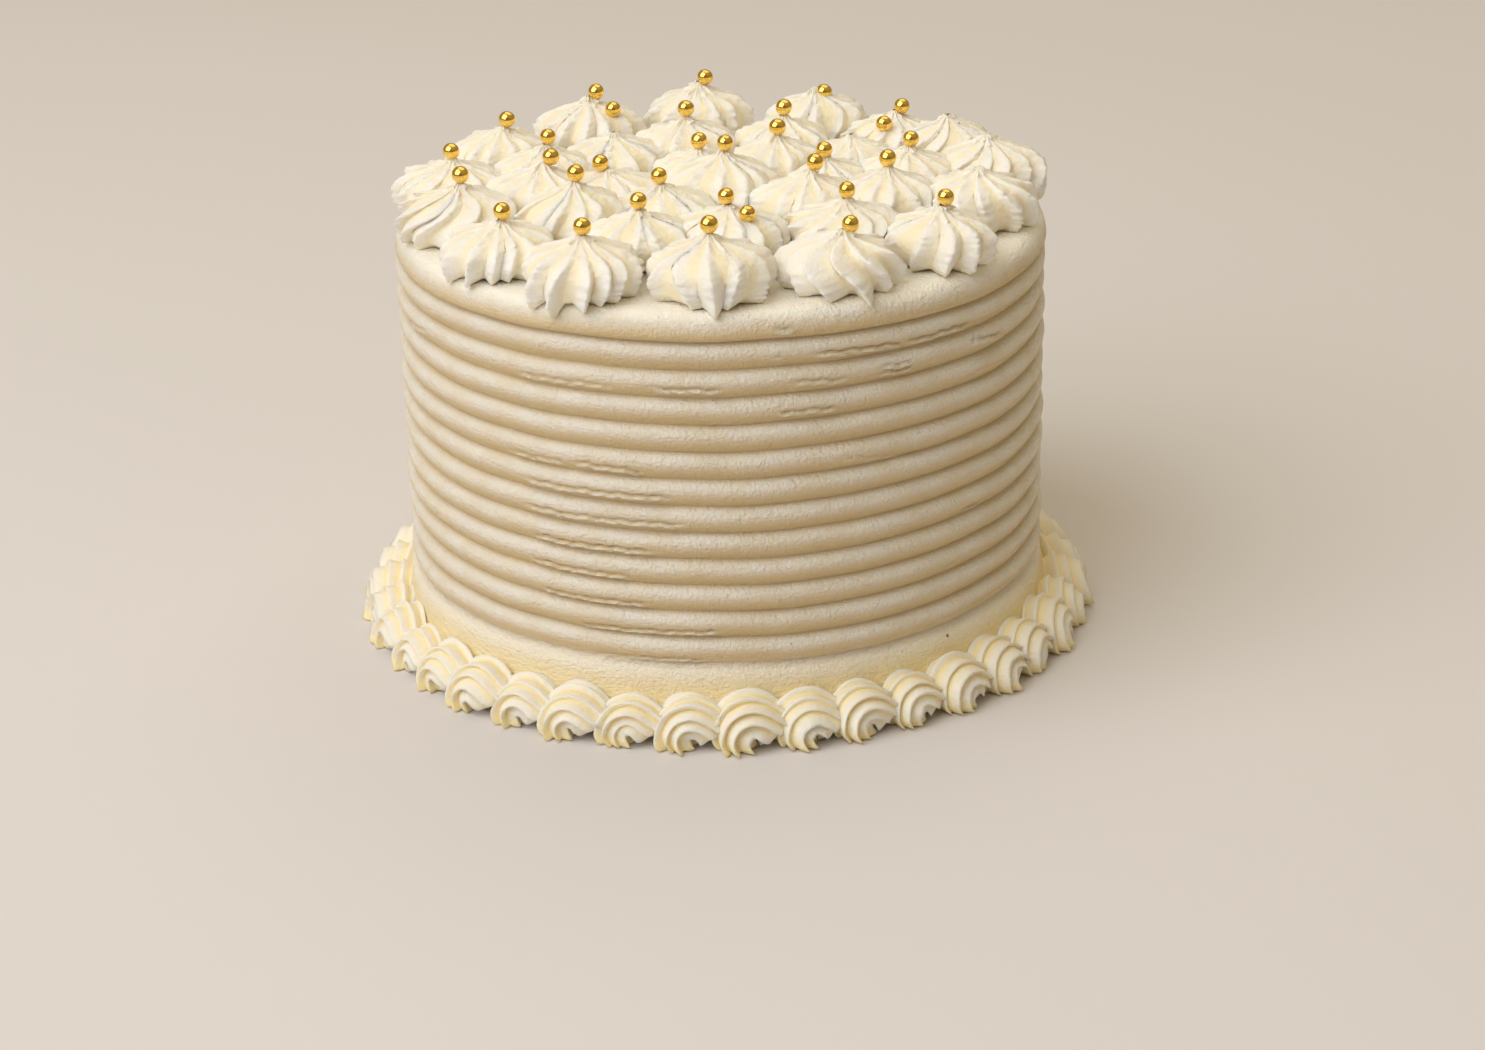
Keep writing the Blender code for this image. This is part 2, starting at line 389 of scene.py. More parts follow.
@dataclass(frozen=True)
class Buttercream:
    """Whipped buttercream: warm white, soft sheen, light passing a little way in."""

    name: str
    pale: Colour
    deep: Colour
    roughness: float = 0.46
    grain: float = 900.0
    pits: float = 420.0
    relief: float = 0.5
    relief_mm: float = 0.2
    combed: float = 0.0
    comb_turn: float = -0.8  # turn of the noise that the comb's marks come from, radians
    comb_scale: tuple[float, float, float] = (420.0, 1500.0, 1.0)  # how fine it is round the side and up it
    # The marks paint shade and light into the colour
    marked: tuple[tuple[str, Colour, float], ...] = ()  # the name of a mark, the colour there, its strength
    crumb: Colour = (0.32, 0.17, 0.07, 1.0)
    crumb_spacing: float = 14.0
    crumbs: tuple[tuple[float, float, float], ...] = ()  # azimuth, height and width of single crumbs
    scatter: float = 0.35
    scatter_mm: float = 2.5
    scatter_reach: tuple[float, float, float] = (1.0, 0.62, 0.28)  # of red, green and blue light
    sheen: float = 0.35

    def drag_marks(self, bench: Bench, place: bpy.types.NodeSocket) -> bpy.types.NodeSocket:
        """The fine marks that the comb drags in the icing, as a height.

        Args:
            bench: The material's bench.
            place: The Object coordinates.

        Returns:
            The marks' height, from 0 to 1.
        """
        apart = bench.put("ShaderNodeSeparateXYZ")
        bench.join(place, apart.inputs[0])
        behind = bench.math("MULTIPLY", apart.outputs["Y"], -1.0)
        round_side = bench.math("MULTIPLY", bench.math("ARCTAN2", apart.outputs["X"], behind), CREST_RADIUS * MM)
        unrolled = bench.put("ShaderNodeCombineXYZ")
        bench.join(round_side, unrolled.inputs["X"])
        bench.join(apart.outputs["Z"], unrolled.inputs["Y"])
        turned = bench.put("ShaderNodeMapping", Rotation=(0.0, 0.0, self.comb_turn), Scale=self.comb_scale)
        bench.join(unrolled.outputs[0], turned.inputs["Vector"])
        streaks = bench.put("ShaderNodeTexNoise", Scale=1.0, Detail=2.0, Roughness=0.55)
        bench.join(turned.outputs[0], streaks.inputs["Vector"])
        return bench.spread(streaks.outputs[0], 0.3, 0.7, 0.0, 1.0)

    def placed_crumbs(self, bench: Bench, place: bpy.types.NodeSocket) -> bpy.types.NodeSocket:
        """The single crumbs that lie at their own places.

        Args:
            bench: The material's bench.
            place: The Object coordinates.

        Returns:
            Their mask, 1 inside a crumb.
        """
        total = None
        for azimuth, z, width in self.crumbs:
            turn = math.radians(azimuth)
            spot = (CREST_RADIUS * MM * math.cos(turn), CREST_RADIUS * MM * math.sin(turn), z * MM)
            away = bench.put("ShaderNodeVectorMath", operation="DISTANCE")
            bench.join(place, away.inputs[0])
            away.inputs[1].default_value = spot
            dot = bench.spread(away.outputs["Value"], 0.4 * width * MM, width * MM, 1.0, 0.0)
            total = dot if total is None else bench.math("ADD", total, dot, clamp=True)
        return total

    def material(self) -> bpy.types.Material:
        """Builds the finish.

        Returns:
            The finish as a material.
        """
        made, bench, shader = blank_material(self.name)
        place = bench.put("ShaderNodeTexCoord").outputs["Object"]
        grain = bench.put("ShaderNodeGroup", node_tree=IcingGrain.group())
        bench.join(place, grain.inputs["Vector"])
        for name, value in (("Grain", self.grain), ("Pits", self.pits), ("Crumb Spacing", self.crumb_spacing)):
            grain.inputs[name].default_value = value
        body = bench.mix(grain.outputs["Mottle"], self.pale, self.deep)
        # The stored marks paint shade and light into the body colour
        for name, colour, strength in self.marked:
            there = bench.put("ShaderNodeAttribute", attribute_name=name).outputs["Fac"]
            body = bench.mix(bench.math("MULTIPLY", there, strength), body, colour)
        if self.crumbs:
            body = bench.mix(self.placed_crumbs(bench, place), body, self.crumb)
        bench.join(bench.mix(grain.outputs["Crumbs"], body, self.crumb), shader.inputs["Base Color"])
        rough = bench.spread(grain.outputs["Mottle"], 0.0, 1.0, self.roughness - 0.05, self.roughness + 0.07)
        bench.join(rough, shader.inputs["Roughness"])
        height = grain.outputs["Height"]
        if self.combed:
            marks = bench.math("MULTIPLY", self.drag_marks(bench, place), self.combed)
            height = bench.math("ADD", height, marks)
        bump = bench.put("ShaderNodeBump", Strength=self.relief, Distance=self.relief_mm * MM)
        bench.join(height, bump.inputs["Height"])
        bench.join(bump.outputs[0], shader.inputs["Normal"])
        shader.inputs["Subsurface Weight"].default_value = self.scatter
        shader.inputs["Subsurface Radius"].default_value = self.scatter_reach
        shader.inputs["Subsurface Scale"].default_value = self.scatter_mm * MM
        shader.inputs["Specular IOR Level"].default_value = self.sheen
        return made


@dataclass(frozen=True)
class GoldCoat:
    """Polished gold coating on sugar."""

    name: str
    bright: Colour = (1.0, 0.72, 0.21, 1.0)
    deep: Colour = (0.94, 0.60, 0.12, 1.0)
    roughness: float = 0.09

    def material(self) -> bpy.types.Material:
        """Builds the finish.

        Returns:
            The finish as a material.
        """
        made, bench, shader = blank_material(self.name)
        place = bench.put("ShaderNodeTexCoord").outputs["Object"]
        cloud = bench.put("ShaderNodeTexNoise", Scale=700.0, Detail=3.0)
        bench.join(place, cloud.inputs["Vector"])
        bench.join(bench.mix(cloud.outputs[0], self.bright, self.deep), shader.inputs["Base Color"])
        rough = bench.spread(cloud.outputs[0], 0.3, 0.7, self.roughness - 0.04, self.roughness + 0.06)
        bench.join(rough, shader.inputs["Roughness"])
        bump = bench.put("ShaderNodeBump", Strength=0.12, Distance=0.05 * MM)
        bench.join(cloud.outputs[0], bump.inputs["Height"])
        bench.join(bump.outputs[0], shader.inputs["Normal"])
        shader.inputs["Metallic"].default_value = 1.0
        return made


@dataclass(frozen=True)
class PaleFloor:
    """A plain pale surface to stand on."""

    name: str = "studio_floor"
    colour: Colour = (0.72, 0.705, 0.735, 1.0)

    def material(self) -> bpy.types.Material:
        """Builds the finish.

        Returns:
            The finish as a material.
        """
        made, _, shader = blank_material(self.name)
        shader.inputs["Base Color"].default_value = self.colour
        shader.inputs["Roughness"].default_value = 0.85
        return made


SIDE_CREAM = Buttercream(
    "side_buttercream",
    pale=(0.85, 0.815, 0.75, 1.0),
    deep=(0.81, 0.75, 0.64, 1.0),
    marked=(
        # painted shade: dark tan in the grooves, under each ridge and in the slits
        ("painted_shade", (0.70, 0.52, 0.245, 1.0), 0.9),
        # painted bounce light: a paler band at the foot of the side, as lit from the border
        ("foot", (1.0, 0.92, 0.78, 1.0), 0.8),
        # painted glow: warm yellow bounce light low on the side just above the border, stronger towards the right
        ("glow", (1.0, 0.80, 0.38, 1.0), 0.95),
        # painted light: the top paler, as lit from above
        ("painted_top_light", (1.0, 0.965, 0.88, 1.0), 1.0),
    ),
    relief=0.72,
    relief_mm=0.34,
    combed=0.6,
    scatter=0.3,
    scatter_mm=2.2,
    grain=1200.0,
    crumb_spacing=24.0,
    crumbs=(
        (-81.2, 75.4, 0.75),
        (-86.7, 43.6, 0.75),
        (-79.5, 21.6, 0.5),
        (-49.2, 14.6, 0.6),
        (-51.7, 36.6, 0.55),
        (-94.4, 50.0, 0.6),
        (-64.0, 28.3, 0.45),
    ),
)
KISS_CREAM = Buttercream(
    "kiss_buttercream",
    pale=(0.93, 0.915, 0.885, 1.0),
    deep=(0.925, 0.895, 0.845, 1.0),
    # painted shade: warm yellow in the furrows and at the foot of each kiss
    marked=(("painted_shade", (1.0, 0.87, 0.60, 1.0), 0.75),),
)
BORDER_CREAM = Buttercream(
    "border_buttercream",
    pale=(0.94, 0.905, 0.85, 1.0),
    deep=(0.94, 0.885, 0.79, 1.0),
    # painted shade: warm yellow in the shells' furrows and at their feet
    marked=(("painted_shade", (1.0, 0.83, 0.45, 1.0), 0.92),),
)
BALL_GOLD = GoldCoat("gold_coating")


@dataclass(frozen=True)
class Tear:
    """A slit that the comb tore in a ridge."""

    start: float  # azimuth in degrees; the front is -90
    end: float
    start_z: float
    end_z: float
    depth: float
    width: float = 0.36


# Along the left of the front the comb dragged one slit in each ridge, and shorter ones further on
TEARS = (
    Tear(-126.7, -108.0, 84.4, 84.5, 0.30),
    Tear(-101.8, -89.7, 84.6, 84.6, 0.42),
    Tear(-129.3, -117.6, 64.4, 64.8, 0.30),
    Tear(-116.0, -103.7, 65.2, 64.5, 0.42),
    Tear(-126.6, -98.0, 58.8, 58.6, 0.46),
    Tear(-127.0, -95.9, 52.2, 52.2, 0.44),
    Tear(-125.3, -101.5, 45.0, 45.2, 0.48),
    Tear(-125.6, -105.8, 38.7, 38.5, 0.42),
    Tear(-124.0, -102.6, 31.8, 32.0, 0.40),
    Tear(-117.3, -90.2, 24.9, 25.6, 0.38),
    Tear(-115.0, -93.3, 17.7, 18.5, 0.34),
    Tear(-134.8, -111.2, 8.3, 11.4, 0.18),
    Tear(-161.3, -151.9, 84.1, 85.4, 0.30),
    Tear(-75.3, -58.6, 91.6, 90.7, 0.46),
    Tear(-58.6, -44.0, 90.7, 91.0, 0.40),
    Tear(-63.5, -57.0, 85.9, 85.8, 0.34),
    Tear(-63.5, -57.0, 84.5, 84.4, 0.34),
    Tear(-78.8, -69.4, 85.4, 84.6, 0.36),
    Tear(-81.5, -70.6, 78.4, 78.0, 0.36),
    Tear(-44.2, -35.4, 86.6, 85.2, 0.40),
    Tear(-71.1, -50.2, 66.3, 60.8, 0.14),
    Tear(-45.0, -40.5, 45.0, 44.2, 0.24),
    Tear(-81.5, -78.2, 98.0, 97.7, 0.40),
    Tear(-81.4, -80.2, 91.5, 91.4, 0.36),
)


# A ridge in section: shares of the pitch down from its upper groove, and of the depth that it stands out there
BEAD_DOWN = (0.0, 0.03, 0.07, 0.12, 0.18, 0.25, 0.32, 0.40, 0.48, 0.56, 0.64, 0.72, 0.79, 0.85, 0.90, 0.95, 1.0)
BEAD_OUT = (0.0, 0.18, 0.37, 0.56, 0.74, 0.89, 0.97, 1.0, 0.98, 0.92, 0.83, 0.71, 0.57, 0.43, 0.30, 0.15, 0.0)


@dataclass
class CombedIcing:
    """The iced cake: flat top, rounded rim and a side combed in level ridges."""

    groove_radius: float = 77.3
    rim_round: float = 4.4
    rim_rows: int = 12
    first_groove_z: float = 94.9
    pitch: float = 6.5
    ridges: int = 12
    rows: int = 19
    band_rows: int = 12
    band_bead: float = 0.42  # how far down a ridge's section the plain band at the foot follows it
    brow_rows: int = 5  # from the rounded rim to the first groove
    steps: int = 360
    groove_deeper: float = 0.8
    foot_flare: float = 3.0  # how far the foot spreads under the border
    top_radii: tuple[float, ...] = (20.0, 40.0, 55.0, 62.0, 66.0, 69.0, 71.5)
    wander: float = 0.22  # how far a groove strays up and down
    lumps: float = 0.16
    waves: tuple[int, ...] = (3, 5, 8, 13, 21)  # round the side, in which grooves stray and ridges swell
    groove_width: float = 0.45
    lip_below: float = 0.85  # from a slit down to the lip that it turns up
    lip_width: float = 0.40
    crease_depth: float = 0.30
    crease_width: float = 0.55

    def bead(self, share: float) -> float:
        """How far a ridge stands out at a share of its height, counted down from its upper groove."""
        return float(np.interp(share, BEAD_DOWN, BEAD_OUT))

    def outline(self) -> list[tuple[float, float]]:
        """The section that is spun round the axis.

        Returns:
            The (radius, height) points from the top's middle down to the base's middle.
        """
        points = [(0.0, TOP_Z)] + [(radius, TOP_Z) for radius in self.top_radii]
        rim_middle = CREST_RADIUS - self.rim_round
        for row in range(self.rim_rows + 1):
            angle = math.pi / 2.0 * row / self.rim_rows
            drop = self.rim_round * (1.0 - math.cos(angle))
            points.append((rim_middle + self.rim_round * math.sin(angle), TOP_Z - drop))
        deep = self.groove_radius - self.groove_deeper
        stands = CREST_RADIUS - deep
        rim_end = TOP_Z - self.rim_round
        for row in range(1, self.brow_rows):
            share = row / self.brow_rows
            drop = (rim_end - self.first_groove_z) * share
            points.append((deep + stands * math.cos(math.pi / 2.0 * share**1.5), rim_end - drop))
        groove_z = self.first_groove_z
        for _ in range(self.ridges):
            for row in range(self.rows):
                share = row / self.rows
                points.append((deep + stands * self.bead(share), groove_z - self.pitch * share))
            groove_z -= self.pitch
        for row in range(self.band_rows):
            share = row / self.band_rows
            out = self.bead(min(share * groove_z / self.pitch, self.band_bead))
            points.append((deep + stands * out + self.foot_flare * share**1.5, groove_z * (1.0 - share)))
        points.append((CREST_RADIUS + self.foot_flare, 0.0))
        points.append((0.0, 0.0))
        return points

    def turned(self) -> bpy.types.Object:
        """Draws the outline by extruding a corner, and spins it round the axis.

        Returns:
            The even cake.
        """
        deselect_all()
        points = self.outline()
        bpy.ops.mesh.primitive_plane_add(size=MM, location=(0.0, 0.0, TOP_Z * MM))
        cake = bpy.context.active_object
        rename(cake, "combed_icing")
        bpy.ops.object.transform_apply(location=True, rotation=False, scale=False)
        bpy.ops.object.mode_set(mode="EDIT")
        bpy.ops.mesh.merge(type="CENTER")
        for (radius, z), (next_radius, next_z) in zip(points, points[1:]):
            step = ((next_radius - radius) * MM, 0.0, (next_z - z) * MM)
            bpy.ops.mesh.extrude_region_move(TRANSFORM_OT_translate={"value": step})
        bpy.ops.mesh.select_all(action="SELECT")
        bpy.ops.mesh.spin(steps=self.steps, angle=TURN, center=(0.0, 0.0, 0.0), axis=(0.0, 0.0, 1.0))
        bpy.ops.mesh.select_all(action="SELECT")
        bpy.ops.mesh.remove_doubles(threshold=0.00001)
        bpy.ops.mesh.normals_make_consistent(inside=False)
        bpy.ops.object.mode_set(mode="OBJECT")
        return cake

    def tear(self, mark: Tear, azimuth: np.ndarray, z: np.ndarray) -> np.ndarray:
        """How deep one slit cuts.

        Args:
            mark: The slit.
            azimuth: The corners' azimuths in degrees.
            z: The corners' heights.

        Returns:
            The depth at each corner.
        """
        along = (azimuth - mark.start) / (mark.end - mark.start)
        ends = smooth_step(along, 0.0, 0.12) * smooth_step(along, 0.88, 1.0, Swell.FALLING)
        ripple = 0.22 * np.sin(azimuth * 1.9 + mark.start) + 0.12 * np.sin(azimuth * 5.3 + mark.start_z)
        line = mark.start_z + (mark.end_z - mark.start_z) * along + ripple
        across = (z - line) / mark.width
        ragged = 0.75 + 0.25 * np.sin(azimuth * 3.7 + mark.end_z)
        slit = np.exp(-across * across)
        lip = np.exp(-(((z - line + self.lip_below) / self.lip_width) ** 2))
        return mark.depth * ends * ragged * (2.0 * slit - 2.4 * lip)

    def uneven(self, cake: bpy.types.Object) -> None:
        """Moves the side's corners: grooves stray, ridges swell, and the comb's slits are cut.

        Args:
            cake: The even cake.
        """
        draw = np.random.default_rng(SEED)
        places = corners_of(cake)
        x, y, z = places.T
        radius = np.hypot(x, y)
        angle = np.arctan2(y, x)
        azimuth = np.degrees(angle)
        azimuth = np.where(azimuth > 90.0, azimuth - 360.0, azimuth)
        side = smooth_step(radius, 72.0, 77.0) * smooth_step(z, 0.0, 4.0)
        ridge = np.floor((self.first_groove_z - z) / self.pitch)
        stray = np.zeros_like(z)
        swell = np.zeros_like(z)
        for waves in self.waves:
            phase, tilt, bulge = draw.uniform(0.0, TURN, 3)
            stray += np.sin(waves * angle + phase + 0.05 * z) / waves**0.5
            swell += np.sin(waves * angle + bulge + 1.7 * ridge + tilt) / waves**0.5
        swell *= 0.5 + 0.5 * np.sin(np.pi * np.clip((self.first_groove_z - z) / self.pitch - ridge, 0.0, 1.0))
        cut = np.zeros_like(z)
        for mark in TEARS:
            cut += self.tear(mark, azimuth, z)
        # Past the front's right the comb left a second ragged crease low on each ridge
        share = (self.first_groove_z - z) / self.pitch - ridge
        right = smooth_step(azimuth, -62.0, -40.0) * smooth_step(azimuth, 20.0, 60.0, Swell.FALLING)
        crease = 0.62 + 0.10 * np.sin(angle * 9.0 + ridge * 2.1) + 0.05 * np.sin(angle * 23.0 + ridge)
        broken = np.clip(0.5 + np.sin(angle * 7.0 + ridge * 2.9), 0.0, 1.0)
        across = (share - crease) * self.pitch / self.crease_width
        cut += self.crease_depth * right * broken * np.exp(-(across**2))
        # Painted shade: the grooves, the lower half of each ridge, where it faces down, and the slits are coloured
        # dark tan
        groove = np.exp(-((np.minimum(share, 1.0 - share) * self.pitch / self.groove_width) ** 2)) * side
        groove *= (z > self.first_groove_z - self.ridges * self.pitch - 1.0) & (z < self.first_groove_z + 1.0)
        # Painted glow: warm yellow bounce light low on the side above the border, stronger towards the right
        glow = smooth_step(z, 7.5, 16.0, Swell.FALLING)
        underside = 0.95 * smooth_step(share, 0.16, 0.82) * side
        underside *= 1.0 - np.clip(-1.4 * cut, 0.0, 1.0)  # the lip that a slit turns up stays pale
        mark_share(cake, "painted_shade", np.maximum(0.8 * groove, underside) + 0.12 * np.clip(cut, 0.0, 1.0))
        # Painted bounce light: the foot of the side paler, as lit from the border
        mark_share(cake, "foot", smooth_step(z, 14.0, 20.0, Swell.FALLING))
        mark_share(cake, "glow", glow * (0.75 + 0.25 * smooth_step(azimuth, -100.0, -40.0)))
        # Painted light: the top and the rim's upper edge paler, as lit from above
        mark_share(cake, "painted_top_light", smooth_step(z, TOP_Z - 2.4, TOP_Z - 0.1))
        moved = radius + side * (self.lumps * swell - cut)
        places[:, 0] = moved * np.cos(angle)
        places[:, 1] = moved * np.sin(angle)
        places[:, 2] = z + self.wander * side * stray * smooth_step(z, 0.0, 12.0)
        move_corners(cake, places)

    def build(self) -> list[bpy.types.Object]:
        """Models and dresses the iced cake.

        Returns:
            Its one piece.
        """
        cake = self.turned()
        self.uneven(cake)
        smooth(cake)
        cake.data.materials.append(SIDE_CREAM.material())
        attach(cake, "root")
        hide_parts("iced_cake")
        return [cake]


@dataclass(frozen=True)
class Level:
    """One level of a star-section squeeze: its height, its ridges' reach and its furrows' share of it."""

    z: float
    reach: float
    furrow: float
    lift: float = 0.0  # how much higher the furrow's corners are


@dataclass
class StarSqueeze:
    """Icing pressed straight up from a star nozzle, radius 1 and height 1, to copy from."""

    name: str
    lobes: int
    levels: tuple[Level, ...]
    sharpness: float
    shoulder: float = 0.86
    smoothing: int = 2
    COLUMNS = 4  # corners to a lobe: ridge, shoulder, furrow, shoulder
    NEAR = 1e-4  # a corner this near lies at a level, or on the axis
    FULL_FURROW = 0.22  # depth of the furrow whose shoulders are drawn in fully

    def pick(self, star: bpy.types.Object, column_of: set[int], level: int | None) -> None:
        """Selects corners of the star in edit mode.

        Args:
            star: The object in edit mode.
            column_of: Which of a lobe's four columns.
            level: Which level, or None for all.
        """
        shape = bmesh.from_edit_mesh(star.data)
        total = self.lobes * self.COLUMNS
        for corner in shape.verts:
            column = round(math.atan2(corner.co.y, corner.co.x) / TURN * total) % self.COLUMNS
            at_level = level is None or abs(corner.co.z - self.levels[level].z) < self.NEAR
            corner.select = column in column_of and at_level and corner.co.xy.length > self.NEAR
        shape.select_flush_mode()
        bmesh.update_edit_mesh(star.data)

    def build(self) -> bpy.types.Object:
        """Extrudes a star upwards level by level.

        Returns:
            The smoothed star column.
        """
        deselect_all()
        first = self.levels[0]
        bpy.ops.mesh.primitive_circle_add(
            vertices=self.lobes * self.COLUMNS, radius=first.reach, fill_type="NGON", location=(0.0, 0.0, 0.0)
        )
        star = bpy.context.active_object
        star.name = self.name
        bpy.ops.object.mode_set(mode="EDIT")
        bpy.ops.mesh.select_mode(type="VERT")
        bpy.ops.mesh.select_all(action="SELECT")
        turn = Matrix.Rotation(-math.pi / 2.0, 4, "Z")
        bmesh.ops.transform(bmesh.from_edit_mesh(star.data), matrix=turn, verts=bmesh.from_edit_mesh(star.data).verts)
        bpy.ops.mesh.select_mode(type="FACE")
        bpy.ops.mesh.select_all(action="SELECT")
        for lower, upper in zip(self.levels, self.levels[1:]):
            bpy.ops.mesh.extrude_region_move(TRANSFORM_OT_translate={"value": (0.0, 0.0, upper.z - lower.z)})
            grow = upper.reach / lower.reach
            bpy.ops.transform.resize(value=(grow, grow, 1.0), center_override=(0.0, 0.0, upper.z))
        bpy.ops.mesh.select_mode(type="VERT")
        self.pick(star, {0}, None)
        bpy.ops.transform.edge_crease(value=self.sharpness)
        for number, level in enumerate(self.levels):
            for columns, share, lift in (
                ({1, 3}, 1.0 - (1.0 - self.shoulder) * (1.0 - level.furrow) / self.FULL_FURROW, 0.4 * level.lift),
                ({2}, level.furrow, level.lift),
            ):
                self.pick(star, columns, number)
                bpy.ops.transform.resize(value=(share, share, 1.0), center_override=(0.0, 0.0, level.z))
                if lift:
                    bpy.ops.transform.translate(value=(0.0, 0.0, lift))
        bpy.ops.object.mode_set(mode="OBJECT")
        apply_modifier(star, "SUBSURF", levels=self.smoothing, render_levels=self.smoothing)
        x, y, z = corners_of(star).T
        # Painted shade: the furrows between the lobes and the lowest part of the squeeze, coloured warm yellow by the
        # finish
        furrows = (0.5 - 0.5 * np.cos(self.lobes * np.arctan2(y, x))) ** 2
        mark_share(star, "painted_shade", np.maximum(furrows, smooth_step(z * MM, 0.0, 0.20, Swell.FALLING)))
        return star


@dataclass(frozen=True)
class Kiss:
    """One piped kiss: where it stands, its size, its swirl and the balls on it."""

    x: float
    y: float
    radius: float
    height: float
    twist: float = 0.0  # degrees from base to tip
    lean: float = 0.0  # sideways shift of the tip
    ball: tuple[float, float] | None = (0.2, 1.8)  # ball centre from the tip, sideways and up
    side_ball: tuple[float, float] | None = None  # ball on the flank, across from the centre
    spin: float = 0.0  # degrees that its lobes are turned by
    heap: float = 0.08  # how much fuller its right flank is
    crowd: float = 0.12  # how much its lobes crowd at the front
    deeper: float = 0.0  # how much deeper its furrows are


# The outer ring runs from the left round the front to the right and back
OUTER_KISSES = (
    Kiss(-63.0, -17.0, 15.3, 13.4, 50, 2.0, heap=0.05, crowd=-0.1, deeper=0.06),
    Kiss(-51.2, -40.3, 15.4, 11.4, 8, 1.0, (0.4, 1.8), spin=-4.8, heap=0.05, crowd=0.3),
    Kiss(-31.2, -58.3, 15.2, 13.0, 15, -0.1, (0.5, 1.8), spin=-5.4, heap=0.2, crowd=0.34),
    Kiss(-2.7, -63.2, 15.4, 14.3, 0, 0.2, (0.1, 1.9), spin=8.2, heap=0.1, crowd=0.0),
    Kiss(27.1, -57.6, 15.2, 12.9, -30, 0.5, (1.6, 0.9), heap=0.05, crowd=0.0, deeper=0.1),
    Kiss(50.0, -41.3, 14.4, 12.8, 10, 0.5, (1.2, 1.8), spin=8.2, heap=0.15, crowd=0.0),
    Kiss(61.0, -14.4, 14.9, 14.0, -20, 0.0, None, heap=0.1, deeper=0.05),
    Kiss(66.4, 13.0, 14.7, 14.0, 30, -0.9, None, heap=0.05),
    Kiss(57.0, 35.0, 13.0, 13.0, 40, 0.5, None),
    Kiss(43.7, 44.0, 13.0, 11.9, 20, 1.0, (2.0, 0.9), (-1.9, -7.2)),
    Kiss(25.2, 58.0, 14.0, 14.5, 10, 0.0, (2.3, -1.4)),
    Kiss(-5.0, 64.0, 14.5, 15.2, 0, 0.0, (2.0, 0.9)),
    Kiss(-33.0, 54.0, 14.5, 14.6, 10, 0.0, (2.1, 0.9), (6.4, -5.2)),
    Kiss(-55.0, 32.0, 14.0, 13.6, 0, 1.2, (1.3, 1.2)),
    Kiss(-65.5, 8.0, 15.3, 12.5, 20, 1.0, (-0.3, 1.3), heap=-0.1),
)
# The kisses inside that ring, from the front row to the back row
INNER_KISSES = (
    Kiss(-18.0, -38.0, 14.5, 12.5, 0, -0.6, (0.0, 1.8)),
    Kiss(2.0, -37.0, 15.0, 13.0, 20, 0.0, (-0.45, 1.65), (4.3, -4.7)),
    Kiss(28.5, -33.0, 15.0, 12.6, 45, 0.3, (0.7, 1.7)),
    Kiss(-34.3, -23.0, 14.5, 15.1, 25, 0.3, (0.6, 1.7)),
    Kiss(-13.0, -17.0, 15.0, 12.2, 0, -0.6, (-0.5, 1.7)),
    Kiss(20.2, -14.0, 14.5, 14.0, 0, 1.2, (1.4, 1.6)),
    Kiss(40.0, -13.0, 14.5, 14.3, 10, 0.0, (0.0, 1.6)),
    Kiss(-43.9, -3.0, 14.0, 13.8, 0, 1.6, (2.2, 1.2)),
    Kiss(-25.3, 2.0, 14.5, 10.7, 0, -1.8, (-1.4, 1.1)),
    Kiss(1.0, 0.0, 15.5, 15.1, 0, 0.0, (0.7, 1.6)),
    Kiss(26.3, 8.0, 13.0, 10.7, 0, -0.3, (-0.3, 1.5)),
    Kiss(46.0, 10.0, 14.5, 12.4, 0, 0.3, (0.6, 1.5)),
    Kiss(-43.0, 16.0, 14.0, 13.0, 0, 0.6, (0.8, 1.7)),
    Kiss(-5.0, 18.0, 13.5, 10.6, 0, 0.0, (0.3, 1.7)),
    Kiss(14.5, 17.0, 14.5, 14.0, 0, 0.0, (0.1, 1.6)),
    Kiss(33.0, 24.0, 13.0, 11.5, 0, 0.0, None),
    Kiss(-26.0, 27.0, 14.5, 12.5, 0, 0.0, None),
    Kiss(-8.0, 38.0, 14.5, 13.2, 0, 0.0, (0.1, 1.8)),
    Kiss(16.5, 38.0, 14.0, 13.0, 0, 0.0),
)
KISSES = OUTER_KISSES + INNER_KISSES


